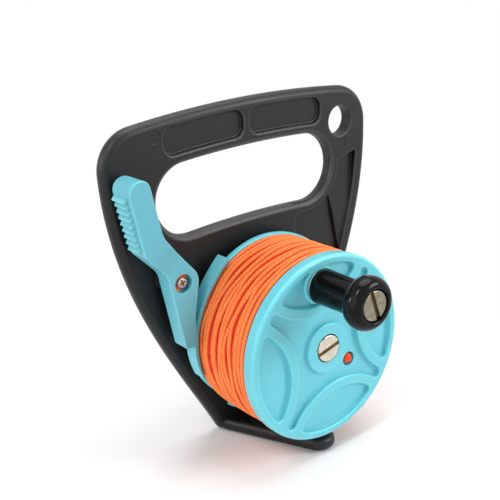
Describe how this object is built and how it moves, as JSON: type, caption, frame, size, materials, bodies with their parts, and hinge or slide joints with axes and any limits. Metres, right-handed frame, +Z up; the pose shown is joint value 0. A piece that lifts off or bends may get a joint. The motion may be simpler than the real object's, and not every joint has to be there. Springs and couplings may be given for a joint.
{
  "type": "handled line reel",
  "caption": "Handled diving line reel: black moulded grip frame, blue-green spool wound with orange line, black crank knob and sprung thumb lever with a curved brake arm.",
  "frame": {"origin": "on the flat underside of the foot, in line with the front face of the frame plate, in the reel's middle plane", "axes": "+Z up towards the grip, -Y to the front where the spool and the knob are, +X to the right seen from the front"},
  "size_m": [0.139, 0.0843, 0.147],
  "materials": {
    "frame_plastic": "satin",
    "knob_plastic": "gloss",
    "spool_plastic": "satin",
    "line": "matte",
    "washer_plastic": "satin",
    "nylon": "satin",
    "nickel": "satin",
    "spring_steel": "satin"
  },
  "bodies": {
    "handle": {"frame": "frame_plastic", "axle_bolt": "nickel", "axle_sleeve": "nickel", "axle_washer": "nickel", "axle_nut": "nickel", "thrust_washer": "nylon", "lever_washer": "washer_plastic", "lever_screw": "nickel", "lever_spring": "spring_steel"},
    "spool": {"spool_rear": "spool_plastic", "spool_front": "spool_plastic", "line_core": "line", "line_winding": "line", "line_knot": "line", "knob_washer": "nylon", "knob_sleeve": "nickel", "knob_screw": "nickel", "knob_nut": "nickel"},
    "crank_knob": {"knob": "knob_plastic"},
    "brake_lever": {"lever": "spool_plastic"}
  },
  "joints": [
    {"name": "spool_spin", "type": "hinge", "parent": "handle", "child": "spool", "pos_m": [0, -0.024, 0.049], "axis": [0, 1, 0], "continuous": true},
    {"name": "knob_spin", "type": "hinge", "parent": "spool", "child": "crank_knob", "pos_m": [-0.0036, -0.06, 0.078], "axis": [0, 1, 0], "continuous": true},
    {"name": "lever_pivot", "type": "hinge", "parent": "handle", "child": "brake_lever", "pos_m": [-0.0456, -0.008, 0.0815], "axis": [0, 1, 0], "range_deg": [0, 3], "stiffness_Nm_per_rad": 2, "springref_deg": -5.73}
  ]
}
